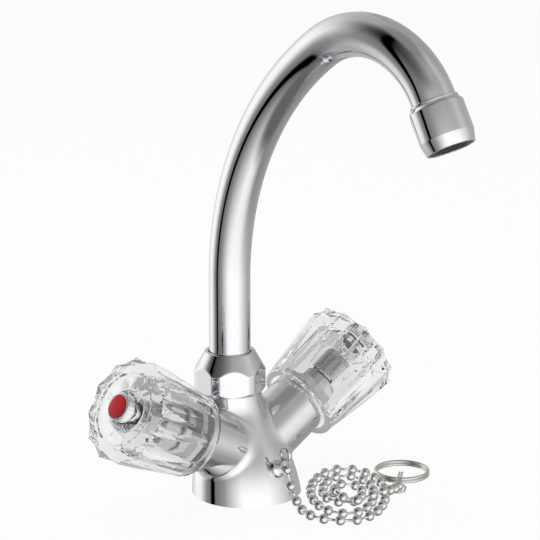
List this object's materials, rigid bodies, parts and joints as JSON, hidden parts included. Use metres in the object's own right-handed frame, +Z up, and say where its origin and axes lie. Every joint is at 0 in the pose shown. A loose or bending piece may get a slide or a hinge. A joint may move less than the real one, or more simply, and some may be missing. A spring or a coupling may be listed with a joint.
{
  "type": "two-handle basin mixer",
  "caption": "Chromed basin mixer with upswept arms, clear lobed knobs, a swivelling swan-neck spout with aerator, and a ball chain with a split ring.",
  "frame": {"origin": "middle of the foot's underside, where it stands on the basin", "axes": "+Z up, -Y forwards to the spout's outlet, +X to the cold side"},
  "size_m": [0.1618, 0.1584, 0.2281],
  "materials": {
    "chrome": "mirror-bright chrome plating",
    "clear_knob": "clear cast acrylic",
    "brass": "turned",
    "steel": "bright spring steel",
    "nickel": "bright nickel plating",
    "rubber": "matt",
    "fibre": "pressed grey fibre",
    "white_plastic": "satin",
    "black_plastic": "satin",
    "hot_index": "gloss",
    "cold_index": "gloss"
  },
  "bodies": {
    "tap_body": {"body_casting": "chrome", "base_gasket": "rubber", "chain_stay": "chrome", "spout_nut": "chrome", "spout_slip_ring": "white_plastic", "hot_headwork_body": "nickel", "hot_headwork_washer": "fibre", "cold_headwork_body": "nickel", "cold_headwork_washer": "fibre", "chain_coupling": "nickel", "chain_drop": "nickel", "chain_coil": "nickel", "chain_run": "nickel", "chain_clip": "steel", "split_ring": "steel"},
    "spout": {"spout_tube": "chrome", "spout_bush": "brass", "spout_o_rings": "rubber", "spout_end_nipple": "chrome", "aerator_housing": "chrome", "aerator_washer": "rubber", "aerator_screen": "steel", "aerator_insert": "black_plastic"},
    "hot_handle": {"hot_spindle": "nickel", "hot_spindle_o_rings": "rubber", "hot_circlip": "steel", "hot_knob": "clear_knob", "hot_knob_insert": "nickel", "hot_knob_screw": "steel", "hot_index_cap": "hot_index", "hot_index_rim": "chrome"},
    "hot_valve": {"hot_valve_plunger": "brass", "hot_valve_washer": "rubber", "hot_washer_screw": "steel"},
    "cold_handle": {"cold_spindle": "nickel", "cold_spindle_o_rings": "rubber", "cold_circlip": "steel", "cold_knob": "clear_knob", "cold_knob_insert": "nickel", "cold_knob_screw": "steel", "cold_index_cap": "cold_index", "cold_index_rim": "chrome"},
    "cold_valve": {"cold_valve_plunger": "brass", "cold_valve_washer": "rubber", "cold_washer_screw": "steel"}
  },
  "joints": [
    {"name": "spout_swivel", "type": "hinge", "parent": "tap_body", "child": "spout", "pos_m": [0, 0.0109, 0.06], "axis": [0, 0, 1], "continuous": true},
    {"name": "hot_handle_turn", "type": "hinge", "parent": "tap_body", "child": "hot_handle", "pos_m": [0, 0.0014, 0.0158], "axis": [-0.8796, 0, 0.4756], "range_deg": [0, 900]},
    {"name": "hot_valve_lift", "type": "slide", "parent": "tap_body", "child": "hot_valve", "axis": [-0.8796, 0, 0.4756], "range_m": [0, 0.005]},
    {"name": "cold_handle_turn", "type": "hinge", "parent": "tap_body", "child": "cold_handle", "pos_m": [0, 0.0014, 0.0158], "axis": [0.8796, 0, 0.4756], "range_deg": [0, 900]},
    {"name": "cold_valve_lift", "type": "slide", "parent": "tap_body", "child": "cold_valve", "axis": [0.8796, 0, 0.4756], "range_m": [0, 0.005]}
  ],
  "couplings": [
    {"joint": "hot_valve_lift", "follows": "hot_handle_turn", "m_per_rad": 0.0003183},
    {"joint": "cold_valve_lift", "follows": "cold_handle_turn", "m_per_rad": 0.0003183}
  ]
}
